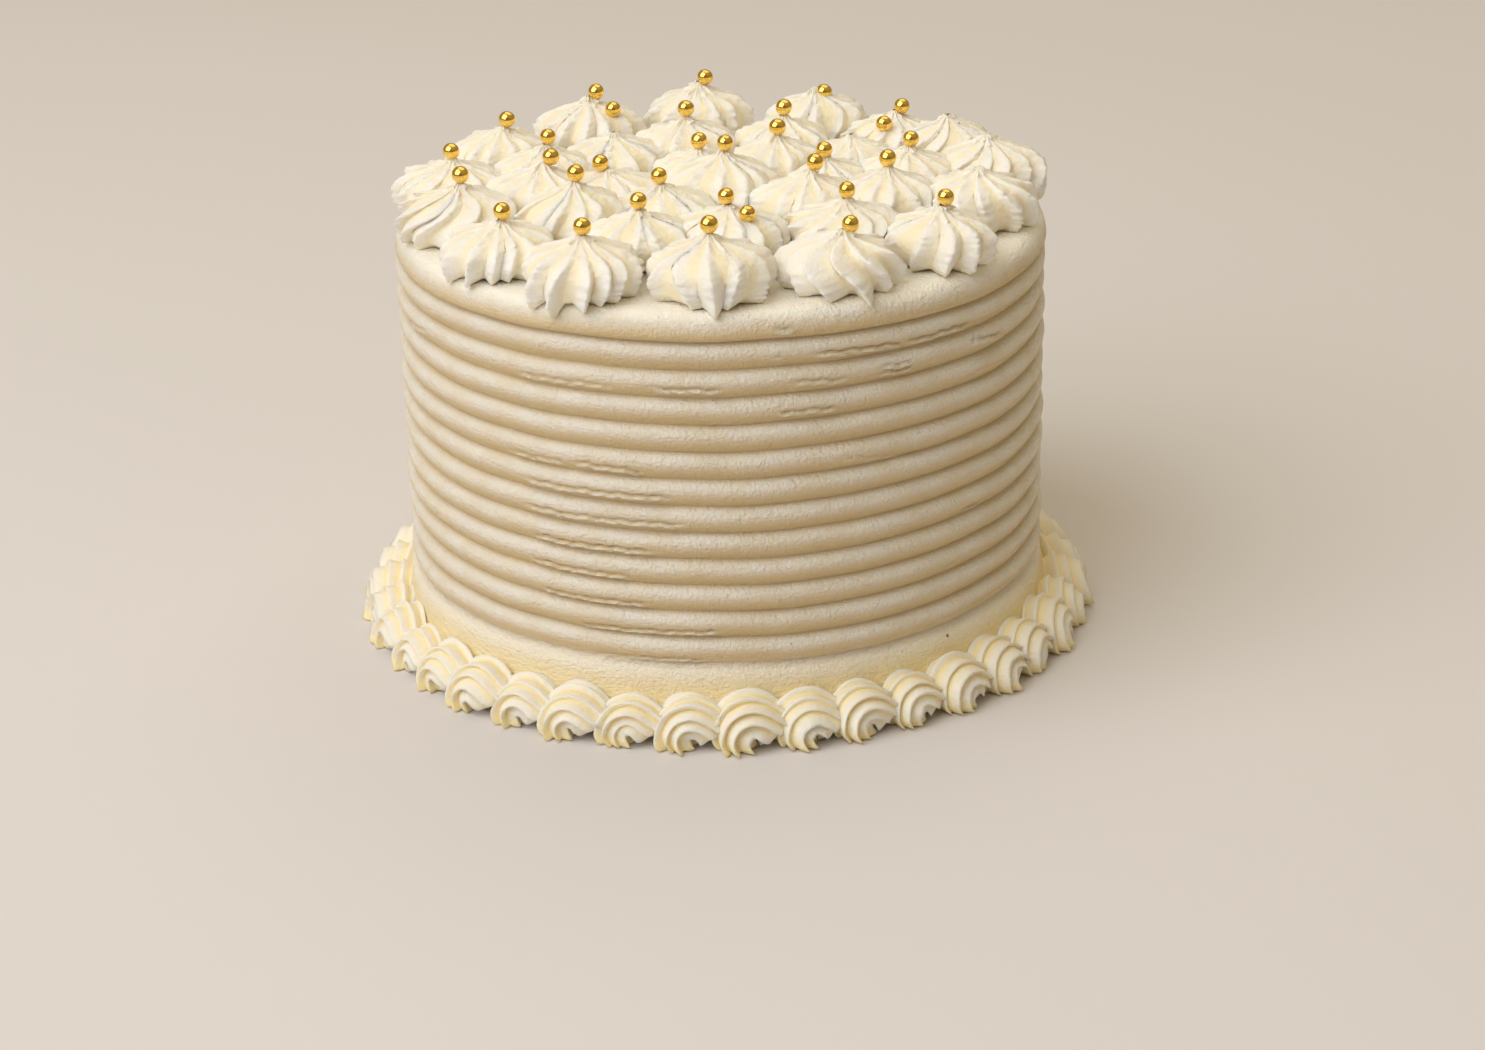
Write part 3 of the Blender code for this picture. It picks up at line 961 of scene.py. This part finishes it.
@dataclass
class PipedKisses:
    """The kisses, each copied from one star squeeze and swirled, slumped and pressed on its own."""

    lobes: int = 11
    reach_between: float = 2.0  # kisses nearer than both radii and this press on each other
    softness: float = 0.9  # how rounded a pressed flank is
    ragged: float = 0.34
    ragged_steps: int = 24  # how many times a lobe's edge may go in or out on its way up
    wrinkle: float = 0.2
    lump_reach: float = 0.55
    lobe_size: float = 0.045  # how much the lobes differ in reach
    lobe_shift: float = 0.09  # and in place, as a share of their spacing
    lobe_tooth: float = 0.035  # and in the reach of their feet
    blade: float = 0.16  # how far a swirl tips the lobes over, as a share of their spacing
    sunk: float = 0.15  # how far a kiss's foot lies in the icing
    taller: float = 0.45  # added to a kiss's height, for its sunk foot and its closing tip
    mould_levels: tuple[Level, ...] = (
        Level(0.0, 0.60, 0.92),
        Level(0.004, 0.83, 0.79, 0.085),
        Level(0.05, 0.88, 0.79, 0.065),
        Level(0.13, 0.935, 0.80, 0.03),
        Level(0.24, 0.98, 0.81),
        Level(0.36, 1.0, 0.82),
        Level(0.46, 0.985, 0.82),
        Level(0.55, 0.94, 0.82),
        Level(0.63, 0.865, 0.82),
        Level(0.695, 0.765, 0.82),
        Level(0.745, 0.64, 0.81),
        Level(0.785, 0.50, 0.79),
        Level(0.825, 0.355, 0.76),
        Level(0.87, 0.23, 0.74),
        Level(0.92, 0.14, 0.74),
        Level(1.0, 0.05, 0.9),
    )
    rim: tuple[float, float] = (74.3, 4.4)  # where the top starts to round off, and its radius
    right: float = 0.3  # azimuth of the fuller flank, radians
    front: float = -1.5  # azimuth where lobes crowd, radians

    def seams(self, kiss: Kiss) -> list[tuple[float, float]]:
        """Where the neighbours press on a kiss.

        Args:
            kiss: The kiss.

        Returns:
            The direction of each pressed side and its distance from the kiss's centre.
        """
        found = []
        for other in KISSES:
            across = math.hypot(other.x - kiss.x, other.y - kiss.y)
            if other is kiss or across > kiss.radius + other.radius + self.reach_between:
                continue
            half = (across**2 + kiss.radius**2 - other.radius**2) / (2.0 * across)
            found.append((math.atan2(other.y - kiss.y, other.x - kiss.x), half + 0.5))
        return found

    def squeezed(self, kiss: Kiss, mould: np.ndarray, number: int) -> np.ndarray:
        """The corners of one kiss.

        Args:
            kiss: The kiss.
            mould: The straight star's corners, radius and height 1.
            number: The kiss's number, which seeds its unevenness.

        Returns:
            The corners' places in millimetres.
        """
        draw = np.random.default_rng(SEED + number)
        x, y, rise = mould.T
        reach = np.hypot(x, y)
        turn = np.arctan2(y, x)
        pitch = TURN / self.lobes
        ridge = 0.5 + 0.5 * np.cos(self.lobes * turn)
        lobe = np.round(turn / pitch).astype(int) % self.lobes
        foot = smooth_step(rise, 0.0, 0.3, Swell.FALLING)
        size = draw.normal(0.0, self.lobe_size, self.lobes)[lobe]
        shift = draw.normal(0.0, self.lobe_shift, self.lobes)[lobe] * pitch
        tooth = draw.normal(0.0, self.lobe_tooth, self.lobes)[lobe]
        reach = reach * (1.0 + ridge * (size + tooth * foot) - kiss.deeper * (1.0 - ridge))
        table = draw.normal(0.0, 1.0, (self.lobes, self.ragged_steps + 2))
        place = np.clip(rise, 0.0, 0.999) * self.ragged_steps
        cell = place.astype(int)
        blend = place - cell
        blend = blend * blend * (3.0 - 2.0 * blend)
        rough = table[lobe, cell] * (1.0 - blend) + table[lobe, cell + 1] * blend
        ragged = self.ragged * (0.6 + 1.1 * smooth_step(rise, 0.55, 0.9))
        reach = reach + ridge**2 * ragged / kiss.radius * rough * smooth_step(rise, 0.02, 0.12)
        rightward = (0.5 + 0.5 * np.cos(turn - self.right)) ** 1.5
        fold = draw.uniform(0.0, 1.0, self.lobes)[lobe] ** 2 + 1.6 * kiss.heap * rightward
        steps = np.sin(rise * 55.0 + 9.0 * np.sin(rise * 5.0) + draw.uniform(0.0, TURN, self.lobes)[lobe])
        reach = reach + ridge * fold * self.wrinkle / kiss.radius * 2.0 * steps * smooth_step(rise, 0.05, 0.2)
        swirl = math.radians(kiss.twist)
        blade = self.blade * math.copysign(min(abs(swirl) * 2.0, 1.0), swirl) if kiss.twist else 0.0
        turn = turn + math.radians(kiss.spin)
        turn = turn - kiss.crowd * np.sin(turn - self.front)
        stray = draw.normal(0.0, 0.16, self.lobes)[lobe] * pitch * np.sin(rise * 3.0 + draw.uniform(0.0, TURN))
        turn = turn + ridge * (shift + blade * pitch) + stray
        turn = turn + swirl * smooth_step(rise, 0.12, 0.92)
        out = kiss.radius * reach ** (1.0 - kiss.heap * rightward)
        lopsided, oval = draw.uniform(0.0, TURN, 2)
        out = out * (1.0 + 0.025 * np.cos(turn - lopsided) + 0.02 * np.cos(2.0 * (turn - oval)))
        px = out * np.cos(turn) + kiss.lean * rise**2
        py = out * np.sin(turn)
        for direction, distance in self.seams(kiss):
            over = px * math.cos(direction) + py * math.sin(direction) - distance
            push = 0.5 * (over + np.sqrt(over * over + self.softness**2)) - 0.02
            push = np.maximum(push, 0.0)
            px = px - push * math.cos(direction)
            py = py - push * math.sin(direction)
        # A foot that passes the rounded rim hangs down on it
        starts, rounding = self.rim
        past = np.clip(np.hypot(kiss.x + px, kiss.y + py) - starts, 0.0, 0.96 * rounding)
        drop = 0.7 * (rounding - np.sqrt(rounding**2 - past**2)) * smooth_step(rise, 0.0, 0.5, Swell.FALLING)
        pz = TOP_Z - self.sunk - drop + (kiss.height + self.taller) * rise
        return np.column_stack((kiss.x + px, kiss.y + py, pz))

    def build(self) -> list[bpy.types.Object]:
        """Models and dresses every kiss.

        Returns:
            The kisses in their order.
        """
        mould = StarSqueeze("kiss_mould", self.lobes, self.mould_levels, sharpness=0.4).build()
        straight = corners_of(mould) * MM
        finish = KISS_CREAM.material()
        uneven = lumps("whipped_lumps", 2.2)
        made = []
        for number, kiss in enumerate(KISSES, start=1):
            piece = copy_of(mould, f"piped_kiss_{number:02d}")
            move_corners(piece, self.squeezed(kiss, straight, number))
            roughen(piece, uneven, self.lump_reach)
            smooth(piece)
            piece.data.materials.append(finish)
            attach(piece, "root")
            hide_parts(f"kiss_{number:02d}")
            made.append(piece)
        bpy.data.objects.remove(mould, do_unlink=True)
        return made


@dataclass(frozen=True)
class Station:
    """One place along a shell, in millimetres and degrees round the middle of its bend."""

    share: float
    turn: float  # 180 is level with the bend's middle on the head's side, 90 straight above it
    middle_z: float
    inner: float  # from the bend's middle to the section's near side
    outer: float  # and to its far side
    half_width: float  # half the section's width across the ring


@dataclass
class ShellBorder:
    """The piped shells round the foot, each bent from a star squeeze: up, over and down to a tail."""

    count: int = 39
    ring: float = 84.0
    ribs: int = 11
    against: float = 0.30  # how much its top leans towards the cake
    phase: float = 9.0  # from a shell's place in the ring to the middle of its bend
    uneven: float = 0.06
    level_turn: float = 180.0  # past this turn the ribs run down to the base
    foot_turn: float = 215.0
    tuck: float = 1.3  # how far a rib's foot curls back under it
    squareness: float = 3.2  # power of the rounded square that the near half follows
    overhang: float = 0.30  # how far a rib leans over the furrow below it, as a share of their spacing
    lump_reach: float = 0.4
    places: int = 200  # read along a shell
    blend: int = 12  # how many of them on each side a station's values are blended over
    stations: tuple[Station, ...] = (
        Station(0.00, 215.0, 2.6, 0.6, 10.2, 8.3),
        Station(0.10, 180.0, 2.6, 0.5, 10.5, 8.0),
        Station(0.28, 140.0, 2.3, 0.4, 10.7, 7.6),
        Station(0.46, 105.0, 1.9, 0.4, 10.2, 7.4),
        Station(0.60, 80.0, 0.9, 0.4, 10.3, 7.2),
        Station(0.74, 58.0, 0.3, 0.3, 10.0, 6.6),
        Station(0.87, 40.0, 0.2, 0.3, 9.8, 5.6),
        Station(1.00, 24.0, 0.6, 1.5, 9.4, 3.6),
    )
    mould_levels: tuple[Level, ...] = (
        Level(0.0, 0.97, 0.70),
        Level(0.03, 1.0, 0.68),
        *(Level(z, 1.0, 0.67) for z in (0.10, 0.19, 0.28, 0.37, 0.46)),
        Level(0.55, 1.0, 0.68),
        Level(0.64, 1.0, 0.69),
        Level(0.74, 1.0, 0.70),
        Level(0.85, 1.0, 0.72),
        Level(0.94, 1.0, 0.74),
        Level(1.0, 0.8, 0.80),
    )

    def bent(self, mould: np.ndarray, number: int) -> np.ndarray:
        """The corners of one shell.

        Args:
            mould: The straight star's corners, radius and height 1.
            number: The shell's number round the ring, which seeds its unevenness.

        Returns:
            The corners' places in millimetres.
        """
        draw = np.random.default_rng(SHELL_SEED + number)
        swell = 1.0 + self.uneven * math.sin(2.4 * number) * math.cos(1.3 * number) + draw.normal(0.0, 0.02)
        x, y, share = mould.T
        angle = np.arctan2(y, x)
        pitch = TURN / self.ribs
        ridge = 0.5 + 0.5 * np.cos(self.ribs * angle)
        rib = np.round(angle / pitch).astype(int) % self.ribs
        size = draw.normal(0.0, 0.05, self.ribs)[rib]
        wave = np.sin(share * draw.uniform(9.0, 16.0) + draw.uniform(0.0, TURN, self.ribs)[rib])
        foot = smooth_step(share, 0.0, 0.16, Swell.FALLING)
        tooth = draw.normal(0.03, 0.06, self.ribs)[rib]
        reach = np.hypot(x, y) * (1.0 + ridge * (size + 0.02 * wave + tooth * foot))
        angle = angle - self.overhang * ridge * pitch
        angle = angle + ridge * draw.normal(0.0, 0.07, self.ribs)[rib] * pitch
        angle = angle + math.pi + 0.25 * share + draw.normal(0.0, 0.12)
        near = np.maximum(np.cos(angle), 0.0)
        power = self.squareness
        square = (np.abs(np.cos(angle)) ** power + np.abs(np.sin(angle)) ** power) ** (-1.0 / power)
        reach = reach * (1.0 + (square - 1.0) * smooth_step(near, 0.0, 0.5))
        turn, middle_z, inner, outer, half_width = (
            self.along(name, share) for name in ("turn", "middle_z", "inner", "outer", "half_width")
        )
        away = 0.5 * (inner + outer) - 0.5 * (outer - inner) * reach * np.cos(angle)
        away = np.maximum(away, 0.15) * swell
        bend = np.radians(np.minimum(turn, self.level_turn))
        below = np.clip((turn - self.level_turn) / (self.foot_turn - self.level_turn), 0.0, 1.0)
        u = away * np.cos(bend) + self.tuck * below**1.6 + draw.normal(0.0, 0.25)
        z = middle_z * (1.0 - below) + away * np.sin(bend)
        across = self.ring + half_width * swell * reach * np.sin(angle) + draw.normal(0.0, 0.2)
        across = across - self.against * np.maximum(z - 4.0, 0.0)
        azimuth = TURN * number / self.count + (u + self.phase) / self.ring
        return np.column_stack((across * np.cos(azimuth), across * np.sin(azimuth), np.maximum(z, 0.0)))

    def along(self, name: str, share: np.ndarray) -> np.ndarray:
        """Reads one measure along a smooth curve through the stations.

        Args:
            name: Which of a station's values.
            share: Where to read, as shares of the shell's length.

        Returns:
            The value at each place.
        """
        fine = np.linspace(0.0, 1.0, self.places)
        shares = [station.share for station in self.stations]
        read = np.interp(fine, shares, [getattr(station, name) for station in self.stations])
        kernel = np.hanning(2 * self.blend + 1)
        padded = np.pad(read, self.blend, mode="reflect", reflect_type="odd")
        return np.interp(share, fine, np.convolve(padded, kernel / kernel.sum(), mode="valid"))

    def build(self) -> list[bpy.types.Object]:
        """Models and dresses the border.

        Returns:
            Its one piece.
        """
        mould = StarSqueeze("shell_mould", self.ribs, self.mould_levels, sharpness=0.35, smoothing=1).build()
        straight = corners_of(mould) * MM
        shells = []
        for number in range(self.count):
            shell = copy_of(mould, f"shell_{number:02d}")
            move_corners(shell, self.bent(straight, number))
            shells.append(shell)
        bpy.data.objects.remove(mould, do_unlink=True)
        border = join(shells, "piped_border")
        roughen(border, lumps("border_lumps", 2.0), self.lump_reach)
        places = corners_of(border)
        places[:, 2] = np.maximum(places[:, 2], 0.0)
        move_corners(border, places)
        smooth(border)
        border.data.materials.append(BORDER_CREAM.material())
        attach(border, "root")
        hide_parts("shell_border")
        return [border]


@dataclass
class GoldBalls:
    """Small gold sugar balls pressed on the kisses."""

    radius: float = 2.05
    sunk: float = 1.1  # centre above the flank that a ball is pressed into
    flank_reach: float = 1.2  # how far round a ball the flank's height is read
    lump_reach: float = 0.12
    squash: tuple[float, float, float] = (1.0, 0.985, 0.97)

    def places(self, kisses: list[bpy.types.Object]) -> list[Vector]:
        """Where the balls lie.

        Args:
            kisses: The modelled kisses.

        Returns:
            The balls' centres in millimetres.
        """
        centres = []
        for kiss, piece in zip(KISSES, kisses):
            tip = Vector((kiss.x + kiss.lean, kiss.y, TOP_Z + 0.3 + kiss.height))
            if kiss.ball:
                centres.append(tip + Vector((kiss.ball[0], 0.0, kiss.ball[1])))
            if kiss.side_ball:
                x, y = kiss.x + kiss.side_ball[0], kiss.y + kiss.side_ball[1]
                near = corners_of(piece)
                near = near[np.hypot(near[:, 0] - x, near[:, 1] - y) < self.flank_reach]
                centres.append(Vector((x, y, float(np.percentile(near[:, 2], 90)) + self.sunk)))
        return centres

    def ball(self) -> bpy.types.Object:
        """Models one ball, a little out of round as panned sugar is.

        Returns:
            The ball, to copy from.
        """
        deselect_all()
        bpy.ops.mesh.primitive_ico_sphere_add(subdivisions=4, radius=self.radius * MM, location=(0.0, 0.0, 0.0))
        made = bpy.context.active_object
        bpy.ops.object.mode_set(mode="EDIT")
        bpy.ops.mesh.select_all(action="SELECT")
        bpy.ops.transform.resize(value=self.squash, center_override=(0.0, 0.0, 0.0))
        bpy.ops.object.mode_set(mode="OBJECT")
        roughen(made, lumps("sugar_lumps", 2.6, 1), self.lump_reach)
        return made

    def build(self, kisses: list[bpy.types.Object]) -> list[bpy.types.Object]:
        """Models and dresses the balls.

        Args:
            kisses: The kisses that they lie on.

        Returns:
            Their one piece.
        """
        first = self.ball()
        draw = np.random.default_rng(BALL_SEED)
        round_form = corners_of(first)
        balls = []
        for number, centre in enumerate(self.places(kisses)):
            ball = copy_of(first, f"ball_{number:02d}")
            turn = np.array(Matrix.Rotation(draw.uniform(0.0, TURN), 3, Vector(draw.normal(0.0, 1.0, 3))))
            move_corners(ball, round_form @ turn.T * draw.uniform(0.97, 1.03) + np.array(centre))
            balls.append(ball)
        bpy.data.objects.remove(first, do_unlink=True)
        gold = join(balls, "gold_balls")
        smooth(gold)
        gold.data.materials.append(BALL_GOLD.material())
        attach(gold, "root")
        return [gold]


@dataclass(frozen=True)
class SoftLamp:
    """A large soft lamp aimed at the cake."""

    name: str
    place: tuple[float, float, float]
    width: float
    power: float
    colour: tuple[float, float, float] = (1.0, 1.0, 1.0)

    def light(self, target: Vector) -> None:
        """Hangs the lamp and turns it to a point.

        Args:
            target: The point.
        """
        lamp = bpy.data.lights.new(self.name, "AREA")
        lamp.shape = "SQUARE"
        lamp.size = self.width
        lamp.energy = self.power
        lamp.color = self.colour
        holder = bpy.data.objects.new(self.name, lamp)
        holder.location = self.place
        holder.rotation_euler = (target - Vector(self.place)).to_track_quat("-Z", "Y").to_euler()
        bpy.context.scene.collection.objects.link(holder)


@dataclass
class Studio:
    """The floor, the soft light and the camera."""

    lamps: tuple[SoftLamp, ...] = (
        SoftLamp("window_left", (-0.98, -0.76, 1.32), 1.9, 26.0),
        SoftLamp("soft_above", (0.2, 0.7, 1.6), 1.6, 7.5, (1.0, 0.90, 0.72)),
    )
    camera_place: tuple[float, float, float] = (0.0, -0.7459, 0.3315)
    camera_pitch: float = 22.731
    camera_yaw: float = 0.309
    camera_roll: float = -1.138
    lens: float = 77.81
    sensor: float = 36.0
    floor_size: float = 9.0
    aim: tuple[float, float, float] = (0.0, 0.0, 0.06)  # where the lamps point
    front_glow: Colour = (0.32, 0.255, 0.155, 1.0)
    level_glow: Colour = (0.46, 0.365, 0.21, 1.0)
    upper_glow: Colour = (0.63, 0.52, 0.32, 1.0)
    glow: float = 0.65

    def floor(self) -> None:
        """Lays a plain level floor."""
        deselect_all()
        bpy.ops.mesh.primitive_plane_add(size=self.floor_size, location=(0.0, 0.0, 0.0))
        floor = bpy.context.active_object
        floor.name = "studio_floor"
        bpy.ops.object.mode_set(mode="EDIT")
        bpy.ops.mesh.subdivide(number_cuts=1)
        bpy.ops.object.mode_set(mode="OBJECT")
        floor.data.materials.append(PaleFloor().material())

    def world(self) -> None:
        """Sets dim warm surroundings, brighter above and dimmer behind the camera."""
        made = bpy.data.worlds.new("studio")
        made.use_nodes = True
        bench = Bench(made.node_tree)
        shade = made.node_tree.nodes["Background"]
        place = bench.put("ShaderNodeTexCoord").outputs["Generated"]
        apart = bench.put("ShaderNodeSeparateXYZ")
        bench.join(place, apart.inputs[0])
        above = bench.spread(apart.outputs["Z"], 0.1, 0.9, 0.0, 1.0)
        toward_front = bench.spread(apart.outputs["Y"], -0.95, -0.5, 0.0, 1.0)
        lit = bench.mix(above, self.level_glow, self.upper_glow)
        bench.join(bench.mix(toward_front, self.front_glow, lit), shade.inputs["Color"])
        shade.inputs["Strength"].default_value = self.glow
        bpy.context.scene.world = made

    def camera(self) -> None:
        """Sets the camera at the reference's place and angle."""
        data = bpy.data.cameras.new("front")
        data.lens = self.lens
        data.sensor_width = self.sensor
        data.clip_start = 0.01
        holder = bpy.data.objects.new("front", data)
        turned = (
            Matrix.Rotation(-math.radians(self.camera_yaw), 4, "Z")
            @ Matrix.Rotation(math.radians(90.0 - self.camera_pitch), 4, "X")
            @ Matrix.Rotation(math.radians(self.camera_roll), 4, "Z")
        )
        holder.matrix_world = Matrix.Translation(self.camera_place) @ turned
        bpy.context.scene.collection.objects.link(holder)
        bpy.context.scene.camera = holder

    def build(self) -> None:
        """Sets up the floor, the light and the camera."""
        self.floor()
        self.world()
        for lamp in self.lamps:
            lamp.light(Vector(self.aim))
        self.camera()
        bpy.context.scene.view_settings.view_transform = "Standard"


def main() -> None:
    """Builds every sub-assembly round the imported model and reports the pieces."""
    logging.basicConfig(level=logging.INFO, format="%(message)s")
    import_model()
    Studio().build()
    pieces = CombedIcing().build() + ShellBorder().build()
    kisses = PipedKisses().build()
    pieces += kisses + GoldBalls().build(kisses)
    for piece in pieces:
        LOG.info("%s: %d faces, rides on root", piece.name, len(piece.data.polygons))


if __name__ == "__main__":
    main()
